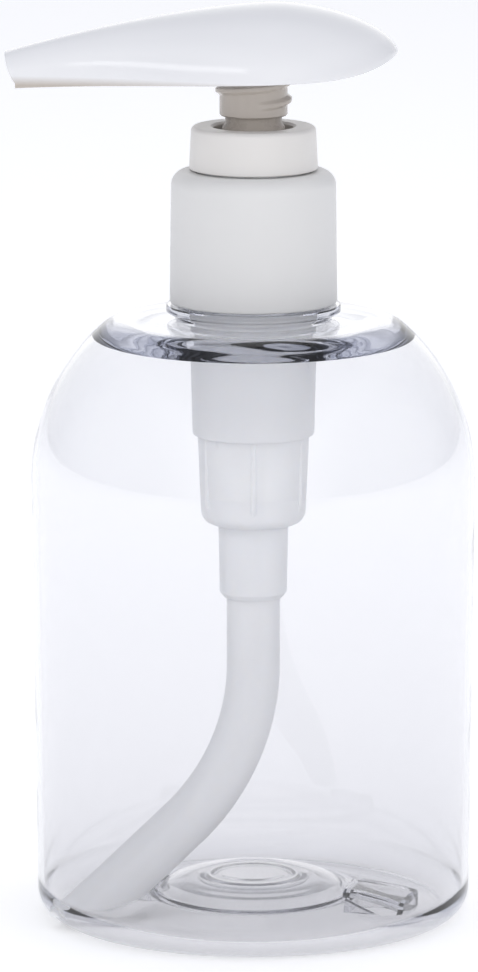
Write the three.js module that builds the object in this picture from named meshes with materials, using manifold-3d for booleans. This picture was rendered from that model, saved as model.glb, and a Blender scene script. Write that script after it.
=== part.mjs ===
// Soap pump dispenser: a clear bottle with a screw-on lotion pump.
// Millimetres, +Z up. The origin is on the bottle's axis, on the plane that the bottle stands on.
// The nozzle points along -X.

import * as THREE from "three";
import { mergeVertices } from "three/addons/utils/BufferGeometryUtils.js";
import Module from "manifold-3d";

const wasm = await Module();
wasm.setup();

// ---- Driving dimensions ----

const ROUND = 36; // sides of the large turned parts
const SMALL_ROUND = 24; // sides of the parts inside the pump
const GAP = 0.3; // clearance between parts that rest on or pass each other

// Bottle
const BODY_R = 37.0; // widest radius, where the dome starts
const HEEL_BODY_R = 36.25; // radius just above the heel: the side tapers a little
const WALL = 0.9;
const HEEL_R = 4.5;
const STAND_IN_R = 27.5; // the standing ring runs from here to the heel
const PUSH_UP = 5.4; // height of the pushed-up middle of the base
const PUSH_UP_R = 8.0; // the middle is flat out to here
const BASE_WALL = 1.3;
const DOME_Z = 74.0;
const DOME_R = 34.0;
const DOME_END = THREE.MathUtils.degToRad(48.8); // the dome's arc gives way to a tighter one here
const SHOULDER_R = 5.9;
const THICK_Z = 97.6; // the wall thickens from here to the neck
const FLARE_R = 1.6; // rounding where the neck's bore opens into the bottle

// Two locating pockets in the base, opposite each other
const POCKET_AZIMUTH = THREE.MathUtils.degToRad(-15);
const POCKET_IN = 16.5; // from the axis to the form's inner end, and to its outer end
const POCKET_OUT = 27.2;
const POCKET_WIDTH = 11.0;
const POCKET_TOP = 5.6;
const POCKET_WALL = 1.1;

// Neck, closure thread and stack
const NECK_R = 11.8;
const NECK_BORE = 10.8;
const NECK_TOP = 121.4;
const NECK_CREST = 12.6;
const SUPPORT_R = 14.5; // the ring that carries the bottle on the filling line
const SUPPORT_Z = 102.2;
const SUPPORT_TOP = 103.5;
const PITCH = 3.175; // closure thread, 8 turns to the inch
const THREAD_TURNS = 1.5;
const THREAD_Z = 111.0; // middle of the neck thread's lowest turn

const FLANGE_R = 12.3;
const FLANGE_Z = NECK_TOP + 1.2; // underside of the pump flange, above the gasket
const FLANGE_TOP = FLANGE_Z + 1.2;

const CAP_R = 13.9;
const CAP_TOP_R = 13.65;
const CAP_BORE = 12.8;
const CAP_Z = 103.8;
const CAP_TOP = 125.8;
const CAP_ROUND = 2.4;
const CAP_HOLE = 9.75;
const CAP_CREST = 12.05;

const RING_R = 10.65;
const RING_TOP_R = 10.35;
const RING_Z = CAP_TOP + GAP;
const RING_TOP = 133.2;
const RING_BORE = 6.7;
const SKIRT_Z = FLANGE_Z - 1.3; // lower end of the lock ring's inner skirt: the stem's upper stop
const SKIRT_R = 8.1;
const LOCK_Z = 124.6; // lower end of the bore that takes the head's boss
const SEAL_SHELF_Z = 124.3; // the stem seal is held under this shelf
const SEAL_BORE = 6.6;

// Pump housing
const RIM_R = 9.3; // tube that stands up through the closure
const RIM_TOP = 129.6;
const BARREL_R = 10.5;
const BARREL_BORE = 9.3;
const BARREL_Z = 81.9; // lower edge of the wide barrel
const BARREL_TAPER_Z = 97.0; // the barrel is slightly conical up to here
const LEDGE_Z = 83.2; // the spring stands on this ledge
const CYLINDER_BORE = 7.7;
const CYLINDER_TOP_R = 9.3;
const CYLINDER_BASE_R = 8.75;
const FLOOR_Z = 68.0;
const SOCKET_R = 5.85;
const SOCKET_BASE_R = 5.6;
const SOCKET_BORE = 4.55;
const SOCKET_Z = 54.0;
const SOCKET_TOP = 61.4;
const SEAT_Z = 62.2;
const BALL_R = 2.5;
const VALVE_R = 3.4; // the chamber that the ball lifts in
const INLET_R = 1.6; // the hole under the ball

// Stem and head
const STEM_R = 4.7;
const STEM_BORE = 2.6;
const STEM_TOP = 146.0;
const STEM_STEP_Z = 83.0; // below here the stem is thin, and the piston slides on it
const STEM_TIP_R = 3.5;
const STEM_Z = 77.4;
const COLLAR_Z = 119.4; // the spring pushes up on this collar
const COLLAR_R = 8.9;
const BEAD_Z = 132.6; // middle of the bead round the stem, under the boss
const BEAD_R = 5.2;
const PLUG_TOP = STEM_Z - 0.2;
const PORT_R = 0.8; // two side ports in the stem, which the piston covers at rest
const PORT_Z = 79.0;

const BOSS_R = 5.65;
const BOSS_Z = 135.0;
const BOSS_TOP = 152.2; // hidden in the head's crown
const BOSS_CREST = 6.35;
const CHAMBER_TOP = 149.6; // top of the space above the stem
const CHANNEL_IN_Z = 147.7; // height of the nozzle's channel on the axis
const CHANNEL_OUT_Z = 142.7; // and at the nozzle's mouth
const LOCK_PITCH = 3.0;
const LOCK_CREST = 5.95;

const TUBE_R = 4.45;
const TUBE_BORE = 3.65;
const TUBE_BEND_R = 33.6;
const TUBE_BEND_Z = 42.4;
const TUBE_TURN = THREE.MathUtils.degToRad(51);
const TUBE_AZIMUTH = THREE.MathUtils.degToRad(22.5); // the tube leans from -X towards -Y
const TUBE_CUT = new THREE.Vector2(28.4, 3.75); // a point on the tube's slanted end: outwards, up
const TUBE_CUT_SLOPE = 0.162;

// ---- Looks ----

const clearPet = new THREE.MeshStandardMaterial({ color: 0xeef1f3, roughness: 0.05, metalness: 0 });
const glossWhite = new THREE.MeshStandardMaterial({ color: 0xe2e3e6, roughness: 0.2, metalness: 0 });
const satinWhite = new THREE.MeshStandardMaterial({ color: 0xdedede, roughness: 0.45, metalness: 0 });
const milky = new THREE.MeshStandardMaterial({ color: 0xdadce0, roughness: 0.35, metalness: 0 });
const foam = new THREE.MeshStandardMaterial({ color: 0xf0f0ee, roughness: 0.9, metalness: 0 });
const rubber = new THREE.MeshStandardMaterial({ color: 0xd0cfca, roughness: 0.7, metalness: 0 });
const steel = new THREE.MeshStandardMaterial({ color: 0xb9bcc0, roughness: 0.25, metalness: 1 });
const glass = new THREE.MeshStandardMaterial({ color: 0xcfe3da, roughness: 0.05, metalness: 0 });

// ---- Geometry helpers ----

/** Points on an arc in the (radius, height) plane, from one angle to another. */
function arc(centreR, centreZ, radius, from, to, steps) {
  const points = [];
  for (let i = 0; i <= steps; i++) {
    const angle = from + ((to - from) * i) / steps;
    points.push([centreR + radius * Math.cos(angle), centreZ + radius * Math.sin(angle)]);
  }
  return points;
}

/** Points on the pushed-up base: flat in the middle, then a smooth ramp down to the standing ring. */
function pushUp(base) {
  const steps = 6;
  const points = [[0, base + PUSH_UP]];
  for (let i = 0; i <= steps; i++) {
    const r = PUSH_UP_R + ((STAND_IN_R - PUSH_UP_R) * i) / steps;
    points.push([r, base + (PUSH_UP / 2) * (1 + Math.cos((Math.PI * i) / steps))]);
  }
  return points;
}

/** Turns a profile of [radius, height] pairs, listed anticlockwise, about Z. */
function turned(profile, sides = ROUND) {
  const points = profile.map(([r, z]) => new THREE.Vector2(r, z));
  if (profile[0][0] > 0) {
    points.push(points[0].clone());
  }
  return new THREE.LatheGeometry(points, sides).rotateX(Math.PI / 2);
}

/** A closed band between two radii and two heights. */
function band(innerR, outerR, lowZ, highZ, sides = ROUND) {
  return turned([[innerR, lowZ], [outerR, lowZ], [outerR, highZ], [innerR, highZ]], sides);
}

/** A solid disc or rod about Z. */
function rod(radius, lowZ, highZ, sides = ROUND) {
  return turned([[0, lowZ], [radius, lowZ], [radius, highZ], [0, highZ]], sides);
}

/** Converts a closed geometry to a manifold-3d solid. */
function solid(geometry) {
  const bare = geometry.clone();
  bare.deleteAttribute("normal");
  bare.deleteAttribute("uv");
  const merged = mergeVertices(bare, 1e-5);
  return new wasm.Manifold(
    new wasm.Mesh({
      numProp: 3,
      vertProperties: new Float32Array(merged.attributes.position.array),
      triVerts: new Uint32Array(merged.index.array),
    })
  );
}

/** Converts a manifold-3d solid back to a geometry. */
function geometryOf(shape) {
  const mesh = shape.getMesh();
  const geometry = new THREE.BufferGeometry();
  geometry.setAttribute("position", new THREE.BufferAttribute(mesh.vertProperties, 3));
  geometry.setIndex(new THREE.BufferAttribute(mesh.triVerts, 1));
  geometry.computeVertexNormals();
  return geometry;
}

/** Volume enclosed by an indexed mesh; it is negative when the faces point inwards. */
function signedVolume(positions, index) {
  const corner = (i) => new THREE.Vector3().fromArray(positions, 3 * index[i]);
  let volume = 0;
  for (let i = 0; i < index.length; i += 3) {
    volume += corner(i).dot(corner(i + 1).cross(corner(i + 2))) / 6;
  }
  return volume;
}

/** Joins stations, each a ring with the same number of points, into one closed skin with flat ends. */
function skin(stations) {
  const count = stations[0].length;
  const last = (stations.length - 1) * count;
  const positions = stations.flat(2);
  const index = [];
  for (let start = 0; start < last; start += count) {
    for (let i = 0; i < count; i++) {
      const a = start + i;
      const b = start + ((i + 1) % count);
      index.push(a, b, b + count, a, b + count, a + count);
    }
  }
  for (let i = 1; i < count - 1; i++) {
    index.push(0, i + 1, i);
    index.push(last, last + i, last + i + 1);
  }
  if (signedVolume(positions, index) < 0) {
    index.reverse();
  }
  const geometry = new THREE.BufferGeometry();
  geometry.setAttribute("position", new THREE.Float32BufferAttribute(positions, 3));
  geometry.setIndex(index);
  return geometry;
}

/**
 * A right-handed thread rib. Its section is a trapezium whose root is sunk into the wall.
 * `rootR` is beyond the wall's surface, `crestR` is the tip, and the rib fades in and out.
 */
function threadRib({ rootR, crestR, pitch, turns, startZ, startAngle, rootWidth, crestWidth }) {
  const stepsPerTurn = 20;
  const steps = Math.round(turns * stepsPerTurn);
  const fadeSteps = 4;
  const stations = [];
  for (let i = 0; i <= steps; i++) {
    const angle = startAngle + (2 * Math.PI * i) / stepsPerTurn;
    const z = startZ + (pitch * i) / stepsPerTurn;
    const fade = Math.min(1, (i + 0.5) / fadeSteps, (steps - i + 0.5) / fadeSteps);
    const tipR = rootR + (crestR - rootR) * fade;
    const section = [
      [rootR, z - rootWidth / 2],
      [tipR, z - crestWidth / 2],
      [tipR, z + crestWidth / 2],
      [rootR, z + rootWidth / 2],
    ];
    stations.push(section.map(([r, h]) => [r * Math.cos(angle), r * Math.sin(angle), h]));
  }
  return skin(stations);
}

// ---- Bottle ----

/** The bottle's outside, from the middle of its base up to the neck. */
function bottleOutside() {
  const underside = pushUp(0);
  const heel = arc(HEEL_BODY_R - HEEL_R, HEEL_R, HEEL_R, -Math.PI / 2, 0, 4);
  const domeCentre = BODY_R - DOME_R;
  const dome = arc(domeCentre, DOME_Z, DOME_R, 0, DOME_END, 8);
  const inward = DOME_R - SHOULDER_R;
  const shoulder = arc(
    domeCentre + inward * Math.cos(DOME_END),
    DOME_Z + inward * Math.sin(DOME_END),
    SHOULDER_R,
    DOME_END,
    Math.PI / 2,
    3
  );
  const shoulderTop = shoulder[shoulder.length - 1][1];
  const neck = [
    [NECK_CREST + 0.5, shoulderTop],
    [NECK_CREST, shoulderTop + 0.5],
    [NECK_CREST, SUPPORT_Z],
    [SUPPORT_R - 0.2, SUPPORT_Z],
    [SUPPORT_R, SUPPORT_Z + 0.2],
    [SUPPORT_R, SUPPORT_TOP - 0.2],
    [SUPPORT_R - 0.2, SUPPORT_TOP],
    [NECK_R, SUPPORT_TOP],
    [NECK_R, NECK_TOP - 0.3],
    [NECK_R - 0.3, NECK_TOP],
  ];
  return [...underside, ...heel, ...dome, ...shoulder.slice(1), ...neck];
}

/** The bottle's inside, from the mouth down to the middle of the base. */
function bottleInside() {
  const mouth = [[NECK_BORE + 0.1, NECK_TOP], [NECK_BORE, NECK_TOP - 0.2]];
  const flare = arc(NECK_BORE + FLARE_R, THICK_Z + 3.0, FLARE_R, Math.PI, 1.5 * Math.PI, 3);
  const domeCentre = BODY_R - DOME_R;
  const innerDome = DOME_R - WALL;
  const thickEdge = Math.asin((THICK_Z - DOME_Z) / innerDome);
  const dome = arc(domeCentre, DOME_Z, innerDome, thickEdge, 0, 6);
  const heelR = 5.0;
  const innerSide = HEEL_BODY_R - WALL;
  const heel = arc(innerSide - heelR, BASE_WALL + heelR, heelR, 0, -Math.PI / 2, 4);
  const floor = pushUp(BASE_WALL).reverse();
  return [...mouth, ...flare, ...dome, ...heel, ...floor];
}

/** The form of a locating pocket, `inset` all round: wider and lower towards the heel. */
function pocketForm(azimuth, inset) {
  const low = inset > 0 ? -2.0 : 0.9; // the hollow opens downwards, and the form ends inside the base's wall
  const bevel = 0.5;
  const stations = [0, 0.5, 1].map((t) => {
    const x = POCKET_IN + inset + (POCKET_OUT - POCKET_IN - 2 * inset) * t;
    const half = (POCKET_WIDTH / 2) * (0.72 + 0.28 * t) - inset;
    const top = POCKET_TOP - 1.6 * t * t - inset;
    return [
      [x, -half, low],
      [x, half, low],
      [x, half, top - bevel],
      [x, half - bevel, top],
      [x, bevel - half, top],
      [x, -half, top - bevel],
    ];
  });
  return skin(stations).rotateZ(azimuth);
}

function makeBottle() {
  let body = solid(turned([...bottleOutside(), ...bottleInside()]));
  for (const azimuth of [POCKET_AZIMUTH, POCKET_AZIMUTH + Math.PI]) {
    body = body.add(solid(pocketForm(azimuth, 0)));
    body = body.subtract(solid(pocketForm(azimuth, POCKET_WALL)));
  }
  const thread = threadRib({
    rootR: NECK_R - 0.2,
    crestR: NECK_CREST,
    pitch: PITCH,
    turns: THREAD_TURNS,
    startZ: THREAD_Z,
    startAngle: 0,
    rootWidth: 1.8,
    crestWidth: 0.7,
  });
  return geometryOf(body.add(solid(thread)));
}

// ---- Closure and its seals ----

function makeNeckGasket() {
  return band(NECK_BORE + 0.05, FLANGE_R, NECK_TOP + 0.1, FLANGE_Z - 0.1);
}

function makeClosure() {
  const panel = FLANGE_TOP + GAP;
  const roundStart = CAP_TOP - CAP_ROUND;
  const shell = turned([
    [CAP_BORE, CAP_Z],
    [CAP_R - 0.3, CAP_Z],
    [CAP_R, CAP_Z + 0.3],
    ...arc(CAP_TOP_R - CAP_ROUND, roundStart, CAP_ROUND, 0, Math.PI / 2, 5),
    [CAP_HOLE, CAP_TOP],
    [CAP_HOLE, panel],
    [CAP_BORE, panel],
  ]);
  const thread = threadRib({
    rootR: CAP_BORE + 0.2,
    crestR: CAP_CREST,
    pitch: PITCH,
    turns: THREAD_TURNS,
    startZ: THREAD_Z - PITCH / 2,
    startAngle: 0,
    rootWidth: 1.6,
    crestWidth: 0.7,
  });
  return geometryOf(solid(shell).add(solid(thread)));
}

/** The ring that snaps over the housing's rim, guides the stem and holds the head when it is locked. */
function makeLockRing() {
  const edge = 0.8;
  const grooveTop = RIM_TOP + GAP;
  const body = turned([
    [RIM_R + GAP, RING_Z],
    [RING_R, RING_Z],
    ...arc(RING_TOP_R - edge, RING_TOP - edge, edge, 0, Math.PI / 2, 3),
    [RING_BORE + 0.4, RING_TOP],
    [RING_BORE, RING_TOP - 0.4],
    [RING_BORE, LOCK_Z],
    [STEM_R + 0.5, LOCK_Z],
    [STEM_R + 0.5, SEAL_SHELF_Z],
    [SEAL_BORE, SEAL_SHELF_Z],
    [SEAL_BORE, SKIRT_Z],
    [SKIRT_R, SKIRT_Z],
    [SKIRT_R, grooveTop],
    [RIM_R + GAP, grooveTop],
  ]);
  const thread = threadRib({
    rootR: RING_BORE + 0.2,
    crestR: LOCK_CREST,
    pitch: LOCK_PITCH,
    turns: 1,
    startZ: LOCK_Z + 1.0,
    startAngle: 0,
    rootWidth: 1.5,
    crestWidth: 0.6,
  });
  return geometryOf(solid(body).add(solid(thread)));
}

/** Soft wiper that seals the stem inside the lock ring's skirt. */
function makeStemSeal() {
  const wiperR = STEM_R + 0.2;
  const outerR = SEAL_BORE - 0.2;
  const low = SKIRT_Z + 0.3;
  const top = SEAL_SHELF_Z - 0.2;
  const profile = [
    [wiperR, low + 0.1],
    [outerR - 0.8, low + 0.8],
    [outerR - 0.8, low],
    [outerR, low],
    [outerR, top],
    [outerR - 1.1, top],
    [wiperR, top - 1.5],
  ];
  return turned(profile, SMALL_ROUND);
}

// ---- Pump housing and valve ----

function makeHousing() {
  const cornerR = 2.2;
  const cornerZ = FLOOR_Z + 0.7;
  const outside = [
    [SOCKET_BORE + 0.35, SOCKET_Z],
    [SOCKET_BASE_R, SOCKET_Z + 0.9],
    [SOCKET_R, cornerZ - cornerR - 0.1],
    ...arc(CYLINDER_BASE_R - cornerR, cornerZ, cornerR, -Math.PI / 2, 0, 4),
    [CYLINDER_TOP_R, BARREL_Z - 0.3],
    [BARREL_R - 0.5, BARREL_Z - 0.3],
    [BARREL_R - 0.35, BARREL_Z],
    [BARREL_R, BARREL_TAPER_Z],
    [BARREL_R, FLANGE_Z],
    [FLANGE_R, FLANGE_Z],
    [FLANGE_R, FLANGE_TOP],
    [RIM_R, FLANGE_TOP],
    [RIM_R, RIM_TOP - 0.3],
    [RIM_R - 0.3, RIM_TOP],
  ];
  const inside = [
    [SKIRT_R + GAP, RIM_TOP],
    [SKIRT_R + GAP, FLANGE_Z],
    [BARREL_BORE, FLANGE_Z - 1.5],
    [BARREL_BORE, LEDGE_Z],
    [CYLINDER_BORE, LEDGE_Z],
    [CYLINDER_BORE, FLOOR_Z],
    [VALVE_R + 0.2, FLOOR_Z],
    [VALVE_R, FLOOR_Z - 0.3],
    [VALVE_R, SEAT_Z + VALVE_R - INLET_R],
    [INLET_R, SEAT_Z],
    [INLET_R, SOCKET_TOP],
    [SOCKET_BORE, SOCKET_TOP],
    [SOCKET_BORE, SOCKET_Z],
  ];
  let shape = solid(turned([...outside, ...inside]));
  for (const rib of housingRibs()) {
    shape = shape.add(solid(rib));
  }
  return geometryOf(shape);
}

/** Six upright ribs that stiffen the cylinder below the wide barrel. */
function housingRibs() {
  const ribs = [];
  const count = 6;
  const low = FLOOR_Z + 1.0;
  const high = BARREL_Z;
  for (let i = 0; i < count; i++) {
    const angle = (2 * Math.PI * (i + 0.5)) / count;
    const rib = new THREE.BoxGeometry(1.0, 1.3, high - low);
    rib.translate(CYLINDER_BASE_R, 0, (high + low) / 2);
    rib.rotateZ(angle);
    ribs.push(rib);
  }
  return ribs;
}

/** A spoked disc that keeps the ball in its seat and lets the soap past. */
function makeBallRetainer() {
  const outerR = 7.4;
  const windowOuterR = 5.9;
  const windowInnerR = 2.4;
  const halfSpoke = 0.25; // radians
  const spokes = 3;
  const disc = new THREE.Shape();
  disc.absarc(0, 0, outerR, 0, 2 * Math.PI, false);
  for (let i = 0; i < spokes; i++) {
    const start = (2 * Math.PI * i) / spokes + halfSpoke;
    const end = (2 * Math.PI * (i + 1)) / spokes - halfSpoke;
    const window = new THREE.Path();
    window.absarc(0, 0, windowOuterR, start, end, false);
    window.absarc(0, 0, windowInnerR, end, start, true);
    disc.holes.push(window);
  }
  const options = { depth: 1.2, bevelEnabled: false, curveSegments: 5 };
  const plate = new THREE.ExtrudeGeometry(disc, options);
  return plate.translate(0, 0, FLOOR_Z + 0.1);
}

function makeInletBall() {
  const lift = 0.15; // clearance above the seat
  const reach = BALL_R * Math.SQRT1_2;
  const contactZ = SEAT_Z + reach - INLET_R; // the seat's cone slopes at 45 degrees
  const ball = new THREE.SphereGeometry(BALL_R, 16, 8).rotateX(Math.PI / 2);
  return ball.translate(0, 0, contactZ + reach + lift);
}

/** The tube's centre line: straight down, one bend, then straight to the corner of the base. */
function dipTubePath() {
  const lean = new THREE.Vector2(-Math.cos(TUBE_AZIMUTH), -Math.sin(TUBE_AZIMUTH));
  const at = (out, z) => new THREE.Vector3(lean.x * out, lean.y * out, z);
  const path = [];
  const straightSteps = 3;
  for (let i = 0; i < straightSteps; i++) {
    path.push(at(0, SOCKET_TOP - GAP + ((TUBE_BEND_Z - SOCKET_TOP + GAP) * i) / straightSteps));
  }
  const bendSteps = 10;
  for (let i = 0; i <= bendSteps; i++) {
    const turn = (TUBE_TURN * i) / bendSteps;
    path.push(at(TUBE_BEND_R * (1 - Math.cos(turn)), TUBE_BEND_Z - TUBE_BEND_R * Math.sin(turn)));
  }
  const run = 34;
  const runSteps = 2;
  const bendOut = TUBE_BEND_R * (1 - Math.cos(TUBE_TURN));
  const bendZ = TUBE_BEND_Z - TUBE_BEND_R * Math.sin(TUBE_TURN);
  for (let i = 1; i <= runSteps; i++) {
    const along = (run * i) / runSteps;
    path.push(at(bendOut + along * Math.sin(TUBE_TURN), bendZ - along * Math.cos(TUBE_TURN)));
  }
  return path;
}

/** A round rod swept along the dip tube's centre line. */
function sweptRod(radius, path, sides) {
  const across = new THREE.Vector3(Math.sin(TUBE_AZIMUTH), -Math.cos(TUBE_AZIMUTH), 0);
  const stations = path.map((point, i) => {
    const before = path[Math.max(0, i - 1)];
    const after = path[Math.min(path.length - 1, i + 1)];
    const along = after.clone().sub(before).normalize();
    const up = along.clone().cross(across).normalize();
    const section = [];
    for (let k = 0; k < sides; k++) {
      const angle = (2 * Math.PI * k) / sides;
      const offset = across.clone().multiplyScalar(radius * Math.cos(angle));
      offset.addScaledVector(up, radius * Math.sin(angle));
      section.push(point.clone().add(offset).toArray());
    }
    return section;
  });
  return skin(stations);
}

function makeDipTube() {
  const sides = 14;
  const path = dipTubePath();
  const boreStart = path[0].clone().add(new THREE.Vector3(0, 0, 2));
  const borePath = [boreStart, ...path.slice(1)];
  const outside = solid(sweptRod(TUBE_R, path, sides));
  const bore = solid(sweptRod(TUBE_BORE, borePath, sides));
  const below = new THREE.BoxGeometry(60, 60, 30).translate(0, 0, -15);
  below.rotateY(Math.atan(TUBE_CUT_SLOPE));
  below.translate(-TUBE_CUT.x, 0, TUBE_CUT.y);
  below.rotateZ(TUBE_AZIMUTH);
  return geometryOf(outside.subtract(bore).subtract(solid(below)));
}

// ---- Stem, piston and spring ----

function makeStem() {
  const tipBore = 2.1;
  const profile = [
    [tipBore, STEM_Z],
    [STEM_TIP_R, STEM_Z],
    [STEM_TIP_R, STEM_STEP_Z],
    [STEM_R, STEM_STEP_Z + 1.2],
    [STEM_R, COLLAR_Z - 1.0],
    [STEM_R + 1.3, COLLAR_Z],
    [COLLAR_R, COLLAR_Z],
    [COLLAR_R, COLLAR_Z + 1.6],
    [STEM_R, COLLAR_Z + 1.6],
    [STEM_R, BEAD_Z - 1.2],
    [BEAD_R, BEAD_Z - 0.4],
    [BEAD_R, BEAD_Z + 0.4],
    [STEM_R, BEAD_Z + 1.2],
    [STEM_R, STEM_TOP],
    [STEM_BORE, STEM_TOP],
    [STEM_BORE, STEM_STEP_Z + 1.5],
    [tipBore, STEM_STEP_Z + 1.0],
  ];
  const ports = new THREE.CylinderGeometry(PORT_R, PORT_R, 10, 12).rotateX(Math.PI / 2);
  ports.translate(0, 0, PORT_Z);
  return geometryOf(solid(turned(profile, SMALL_ROUND)).subtract(solid(ports)));
}

/** Pressed into the stem's lower end; the piston closes on its cone. */
function makeStemPlug() {
  const rimR = 5.8;
  const coneTopR = 4.4;
  const pinR = 1.9;
  const profile = [
    [0, PLUG_TOP - 2.0],
    [rimR - 0.4, PLUG_TOP - 2.0],
    [rimR, PLUG_TOP - 1.6],
    [rimR, PLUG_TOP - 0.8],
    [coneTopR, PLUG_TOP],
    [pinR, PLUG_TOP],
    [pinR, PLUG_TOP + 1.0],
    [0, PLUG_TOP + 1.0],
  ];
  return turned(profile, SMALL_ROUND);
}

/** Slides on the stem's tip for a short way, which opens and closes the stem's ports. */
function makePiston() {
  const bore = STEM_TIP_R + 0.15;
  const hubR = 5.3;
  const lipR = CYLINDER_BORE - 0.15;
  const low = PLUG_TOP + 0.2;
  const profile = [
    [bore, low + 0.1],
    [hubR, low + 0.1],
    [hubR, low + 1.6],
    [lipR - 0.7, low + 1.2],
    [lipR - 0.5, low - 0.6],
    [lipR, low - 0.6],
    [lipR - 0.25, low + 2.0],
    [lipR, low + 4.4],
    [lipR - 0.5, low + 4.4],
    [lipR - 0.8, low + 2.6],
    [hubR, low + 2.6],
    [hubR, low + 3.6],
    [bore, low + 3.6],
  ];
  return turned(profile, SMALL_ROUND);
}

/** Compression spring around the stem, with a closed turn at each end. */
function makeSpring() {
  const wireR = 0.55;
  const coilR = 8.4;
  const lowZ = LEDGE_Z + 0.1 + wireR;
  const highZ = COLLAR_Z - 0.1 - wireR;
  const turns = 9;
  const stepsPerTurn = 14;
  const sides = 5;
  const steps = turns * stepsPerTurn;
  const closed = 1.15 * wireR * 2; // rise of each end turn
  const stations = [];
  for (let i = 0; i <= steps; i++) {
    const turn = i / stepsPerTurn;
    const angle = 2 * Math.PI * turn;
    const open = THREE.MathUtils.clamp((turn - 1) / (turns - 2), 0, 1);
    const ends = Math.min(turn, 1) + Math.max(0, turn - turns + 1);
    const z = lowZ + closed * ends + (highZ - lowZ - 2 * closed) * open;
    const section = [];
    for (let k = 0; k < sides; k++) {
      const around = (2 * Math.PI * k) / sides;
      const r = coilR + wireR * Math.cos(around);
      section.push([r * Math.cos(angle), r * Math.sin(angle), z + wireR * Math.sin(around)]);
    }
    stations.push(section);
  }
  return skin(stations);
}

// ---- Head ----

const TIP_X = -41.3; // the nozzle's upper lip
const TIP_LOW_X = -39.2; // the nozzle's lower lip
const HEEL_X = 23.7; // the head's back end
const CROWN_X = 3.5;
const CROWN_Z = 153.6;
const WIDE_X = 3.0; // where the head is widest
const WIDE_R = 15.5;
const TIP_W = 4.4;
const TIP_DROP = 8.2; // how far the ridge falls from the crown to the nozzle, and to the back end
const HEEL_DROP = 8.0;
const RIM_Z = 141.7; // the lower rim's height on the bottle's axis

/** Height of the head's ridge. */
function crownZ(x) {
  if (x < CROWN_X) {
    return CROWN_Z - TIP_DROP * ((CROWN_X - x) / (CROWN_X - TIP_X)) ** 1.55;
  }
  const t = Math.min(1, (x - CROWN_X) / (HEEL_X - CROWN_X));
  const bulge = 1.7;
  return CROWN_Z - HEEL_DROP * (1 - (1 - t ** bulge) ** (1 / bulge));
}

/** Height of the head's lower rim: nearly level, swept up at the back. */
function rimZ(x) {
  const level = RIM_Z + 0.045 * x;
  const sweepStart = 8;
  if (x < sweepStart) {
    return level;
  }
  return level + 2.6 * ((x - sweepStart) / (HEEL_X - sweepStart)) ** 3;
}

/** Half the head's width: a round thumb pad that narrows to the nozzle. */
function halfWidth(x) {
  if (x > WIDE_X) {
    return WIDE_R * Math.sqrt(Math.max(0, 1 - ((x - WIDE_X) / (HEEL_X - WIDE_X)) ** 2));
  }
  const t = Math.min(1, (WIDE_X - x) / (WIDE_X - TIP_X));
  return TIP_W + (WIDE_R - TIP_W) * (0.5 + 0.5 * Math.cos(Math.PI * t ** 0.8));
}

/** Height of the upright flank along the nozzle, which fades out towards the pad. */
function flankHeight(x) {
  const t = THREE.MathUtils.clamp((-8 - x) / 20, 0, 1);
  return 0.4 + 1.8 * t * t * (3 - 2 * t);
}

/** One cross-section of the head, `inset` inside its surface and `drop` below its rim. */
function headSection(x, inset, drop) {
  const arcSteps = 10;
  const w = Math.max(0.15, halfWidth(x) - inset);
  const low = rimZ(x) - drop;
  const spring = rimZ(x) + flankHeight(x);
  const top = Math.max(spring + 0.1, crownZ(x) - inset);
  const power = 2 / 2.25;
  const section = [[x, -w, low]];
  for (let i = 0; i <= arcSteps; i++) {
    const angle = (Math.PI * i) / arcSteps;
    const c = Math.cos(angle);
    const y = -w * Math.sign(c) * Math.abs(c) ** power;
    section.push([x, y, spring + (top - spring) * Math.sin(angle) ** power]);
  }
  section.push([x, w, low]);
  return section;
}

/** The head's outer or inner form, lofted from the nozzle to the back. */
function headForm(fromX, toX, inset, drop) {
  const count = 22;
  const stations = [];
  for (let i = 0; i <= count; i++) {
    const t = i / count;
    const eased = Math.sin((Math.PI / 2) * t);
    const x = fromX + (toX - fromX) * (0.35 * t + 0.65 * eased);
    stations.push(headSection(x, inset, drop));
  }
  return skin(stations);
}

/** A rod between two points, for the nozzle's channel. */
function strut(from, to, radius) {
  const length = from.distanceTo(to);
  const rodGeometry = new THREE.CylinderGeometry(radius, radius, length, 16);
  const turn = new THREE.Quaternion().setFromUnitVectors(
    new THREE.Vector3(0, 1, 0),
    to.clone().sub(from).normalize()
  );
  rodGeometry.applyQuaternion(turn);
  const middle = from.clone().add(to).multiplyScalar(0.5);
  return rodGeometry.translate(middle.x, middle.y, middle.z);
}

/** The slanted cut at the nozzle's mouth: everything beyond this block is removed. */
function nozzleCut() {
  const outline = new THREE.Shape();
  outline.moveTo(TIP_LOW_X, 130);
  outline.lineTo(TIP_LOW_X, 140.8);
  outline.quadraticCurveTo(TIP_LOW_X - 1.4, 142.2, TIP_X + 0.1, 146.5);
  outline.lineTo(TIP_X + 0.1, 160);
  outline.lineTo(TIP_X - 10, 160);
  outline.lineTo(TIP_X - 10, 130);
  outline.closePath();
  const options = { depth: 30, bevelEnabled: false, curveSegments: 6 };
  const block = new THREE.ExtrudeGeometry(outline, options);
  return block.translate(0, 0, -15).rotateX(Math.PI / 2);
}

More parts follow.
